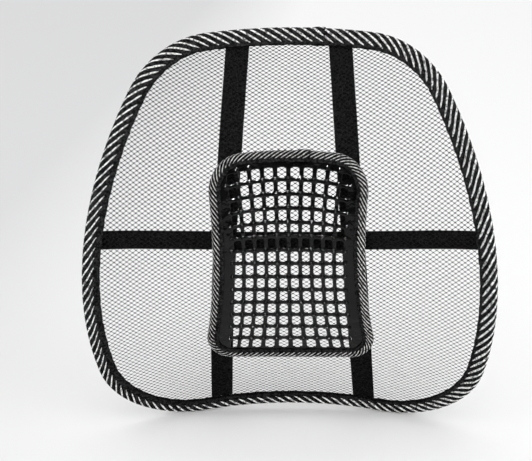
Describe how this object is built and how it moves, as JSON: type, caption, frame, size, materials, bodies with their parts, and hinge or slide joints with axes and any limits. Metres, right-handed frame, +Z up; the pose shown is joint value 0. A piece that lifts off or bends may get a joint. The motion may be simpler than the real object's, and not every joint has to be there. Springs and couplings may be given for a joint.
{
  "type": "mesh lumbar support",
  "caption": "Saddle-shaped wire hoop with a stretched mesh panel, upright straps, an elastic chair strap behind and a nubbed plastic massage pad in front.",
  "frame": {"origin": "on the ground plane under the lowest point, below the middle of the whole object's bounding box", "axes": "+Z up, +X to the right seen from the front, front (the side the sitter leans on) faces -Y"},
  "size_m": [0.4008, 0.0996, 0.4088],
  "materials": {
    "spring_steel": "bright drawn spring wire",
    "sleeve_steel": "crimped, dull zinc",
    "binding_tape": "woven black binding tape with thin off-white slanting stripes",
    "sewing_thread": "twisted black polyester thread",
    "mesh_knit": "see-through black warp-knit mesh",
    "webbing": "ribbed black webbing",
    "elastic": "ribbed black knitted elastic",
    "massage_plastic": "smooth glossy black, soft highlights"
  },
  "bodies": {
    "root": {"frame_wire": "spring_steel", "frame_wire_sleeve": "sleeve_steel", "frame_binding": "binding_tape", "frame_seam_thread": "sewing_thread", "mesh_panel": "mesh_knit", "strap_left": "webbing", "strap_right": "webbing", "elastic_strap": "elastic", "strap_end_stitches": "sewing_thread", "elastic_end_stitches": "sewing_thread", "pad_wire": "spring_steel", "pad_wire_sleeve": "sleeve_steel", "pad_binding": "binding_tape", "pad_seam_thread": "sewing_thread", "massage_net": "massage_plastic", "pad_corner_stitches": "sewing_thread"}
  },
  "joints": []
}
